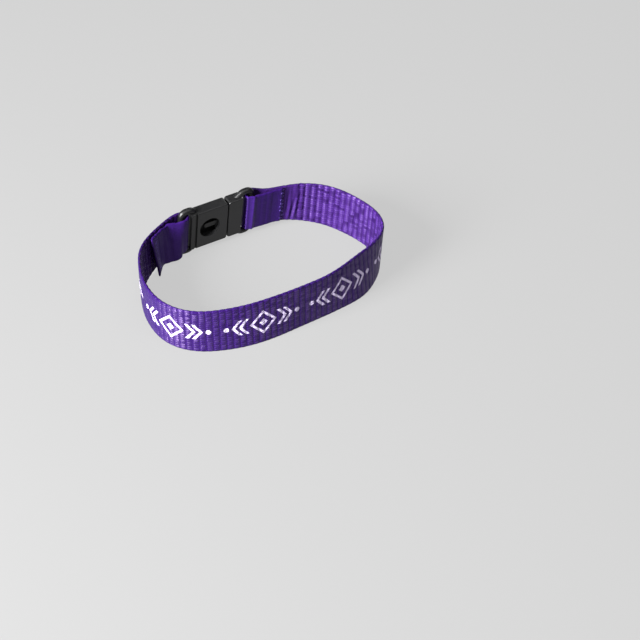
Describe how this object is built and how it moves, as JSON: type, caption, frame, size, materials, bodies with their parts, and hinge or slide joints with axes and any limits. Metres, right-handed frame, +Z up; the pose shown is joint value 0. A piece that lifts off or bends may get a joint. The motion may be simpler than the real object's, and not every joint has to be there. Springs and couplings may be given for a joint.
{
  "type": "woven wristband",
  "caption": "Round wristband of flat ribbed woven webbing, its ends folded back through the loops of a two-piece breakaway buckle.",
  "frame": {"origin": "on the floor, under the middle of the loop's bounding box", "axes": "+X along the buckle and the loop's longest way, +Y from the front of the loop to the buckle at the back, +Z up across the webbing"},
  "size_m": [0.0762, 0.0501, 0.0175],
  "materials": {
    "webbing": "ribbed woven polyester",
    "buckle": "moulded, satin"
  },
  "bodies": {
    "root": {"strap": "webbing", "buckle_socket": "buckle", "buckle_plug": "buckle"}
  },
  "joints": []
}
